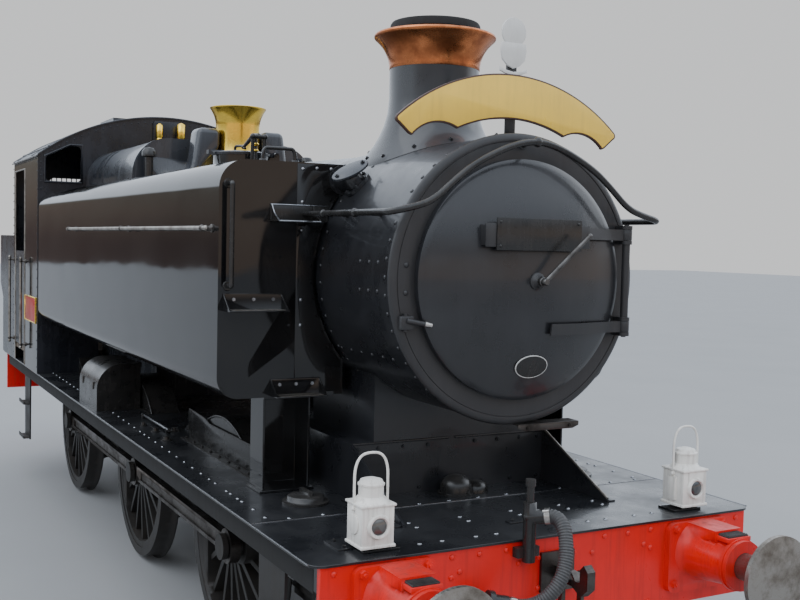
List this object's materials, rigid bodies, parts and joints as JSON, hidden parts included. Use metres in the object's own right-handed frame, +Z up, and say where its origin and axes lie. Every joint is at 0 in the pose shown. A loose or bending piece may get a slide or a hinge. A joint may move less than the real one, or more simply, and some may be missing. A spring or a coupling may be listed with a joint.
{
  "type": "six-coupled pannier tank steam locomotive",
  "caption": "Black six-wheeled tank steam locomotive with side pannier tanks, copper-capped chimney, brass bonnet, red buffer beam, white lamps and a blank yellow headboard.",
  "frame": {"origin": "midway between the buffer beams on the centre line, level with the bottoms of the wheel flanges", "axes": "+X towards the smokebox, +Y to the locomotive's left, +Z up"},
  "size_m": [10.11, 2.662, 3.8298],
  "materials": {
    "gloss_black": "gloss",
    "smokebox_black": "matte",
    "frame_black": "satin",
    "signal_red": "gloss",
    "polished_copper": "polished",
    "polished_brass": "polished",
    "bright_steel": "satin",
    "greasy_steel": "worn",
    "lamp_white": "satin",
    "board_yellow": "gloss",
    "hose_rubber": "matte",
    "footplate_wood": "worn"
  },
  "bodies": {
    "chassis": {"frames": "frame_black", "axleboxes": "frame_black", "buffer_beam_front": "signal_red", "buffer_beam_rear": "signal_red", "buffer_housings": "signal_red", "buffer_heads": "greasy_steel", "drawgear": "greasy_steel", "running_plate": "gloss_black", "splashers": "gloss_black", "footsteps": "frame_black", "smokebox": "smokebox_black", "smokebox_ring": "smokebox_black", "tank_vents": "gloss_black", "exhaust_elbow": "smokebox_black", "door_hinge_lugs": "smokebox_black", "saddle": "smokebox_black", "boiler": "gloss_black", "chimney": "smokebox_black", "chimney_cap": "polished_copper", "safety_valve_bonnet": "polished_brass", "safety_valves": "polished_brass", "top_feed": "gloss_black", "whistles": "polished_brass", "tank_left": "gloss_black", "tank_right": "gloss_black", "front_brackets": "gloss_black", "cab_front": "gloss_black", "cab_sides": "gloss_black", "cab_back": "gloss_black", "cab_roof": "gloss_black", "cab_floor": "footplate_wood", "bunker": "gloss_black", "backhead": "frame_black", "toolboxes": "gloss_black", "sand_gear": "frame_black", "brake_gear": "frame_black", "cylinder_block": "frame_black", "handrail_smokebox": "bright_steel", "handrails_side": "bright_steel", "lamps": "lamp_white", "headboard": "board_yellow", "vacuum_standpipe": "frame_black", "vacuum_hose": "hose_rubber", "hose_coupling": "greasy_steel"},
    "wheels_front": {"wheelset_front": "frame_black"},
    "wheels_driving": {"wheelset_driving": "frame_black"},
    "wheels_rear": {"wheelset_rear": "frame_black"},
    "rod_right": {"coupling_rod_right": "bright_steel"},
    "rod_left": {"coupling_rod_left": "bright_steel"},
    "front_door": {"smokebox_door": "smokebox_black", "door_dart": "bright_steel"},
    "filler_lid_left": {"filler_lid_left": "gloss_black"},
    "filler_lid_right": {"filler_lid_right": "gloss_black"},
    "cab_door_left": {"cab_door_left": "gloss_black"},
    "cab_door_right": {"cab_door_right": "gloss_black"},
    "toolbox_lid_left": {"toolbox_lid_left": "gloss_black"},
    "toolbox_lid_right": {"toolbox_lid_right": "gloss_black"}
  },
  "joints": [
    {"name": "driving_axle", "type": "hinge", "parent": "chassis", "child": "wheels_driving", "pos_m": [0, 0, 0.733], "axis": [0, 1, 0], "continuous": true},
    {"name": "front_axle", "type": "hinge", "parent": "chassis", "child": "wheels_front", "pos_m": [2.21, 0, 0.733], "axis": [0, 1, 0], "continuous": true},
    {"name": "rear_axle", "type": "hinge", "parent": "chassis", "child": "wheels_rear", "pos_m": [-2.515, 0, 0.733], "axis": [0, 1, 0], "continuous": true},
    {"name": "rod_right_pin", "type": "hinge", "parent": "wheels_driving", "child": "rod_right", "pos_m": [0.27791, -0.9, 0.76712], "axis": [0, 1, 0], "continuous": true},
    {"name": "rod_left_pin", "type": "hinge", "parent": "wheels_driving", "child": "rod_left", "pos_m": [0.03412, 0.9, 0.45509], "axis": [0, 1, 0], "continuous": true},
    {"name": "smokebox_door_hinge", "type": "hinge", "parent": "chassis", "child": "front_door", "pos_m": [4.185, 0.622, 2.43], "axis": [0, 0, 1], "range_deg": [0, 115]},
    {"name": "filler_lid_left_hinge", "type": "hinge", "parent": "chassis", "child": "filler_lid_left", "pos_m": [2.672, 0.736, 3.085], "axis": [1, 0, 0], "range_deg": [0, 110]},
    {"name": "filler_lid_right_hinge", "type": "hinge", "parent": "chassis", "child": "filler_lid_right", "pos_m": [2.672, -0.736, 3.085], "axis": [-1, 0, 0], "range_deg": [0, 110]},
    {"name": "cab_door_left_hinge", "type": "hinge", "parent": "chassis", "child": "cab_door_left", "pos_m": [-3.514, 1.226, 1.8], "axis": [0, 0, -1], "range_deg": [0, 95]},
    {"name": "cab_door_right_hinge", "type": "hinge", "parent": "chassis", "child": "cab_door_right", "pos_m": [-3.514, -1.226, 1.8], "axis": [0, 0, 1], "range_deg": [0, 95]},
    {"name": "toolbox_lid_left_hinge", "type": "hinge", "parent": "chassis", "child": "toolbox_lid_left", "pos_m": [-0.038, 0.866, 1.6083], "axis": [1, 0, 0], "range_deg": [0, 38]},
    {"name": "toolbox_lid_right_hinge", "type": "hinge", "parent": "chassis", "child": "toolbox_lid_right", "pos_m": [-0.038, -0.866, 1.6083], "axis": [-1, 0, 0], "range_deg": [0, 38]}
  ],
  "couplings": [
    {"joint": "front_axle", "follows": "driving_axle", "ratio": 1},
    {"joint": "rear_axle", "follows": "driving_axle", "ratio": 1},
    {"joint": "rod_right_pin", "follows": "driving_axle", "ratio": -1},
    {"joint": "rod_left_pin", "follows": "driving_axle", "ratio": -1}
  ]
}
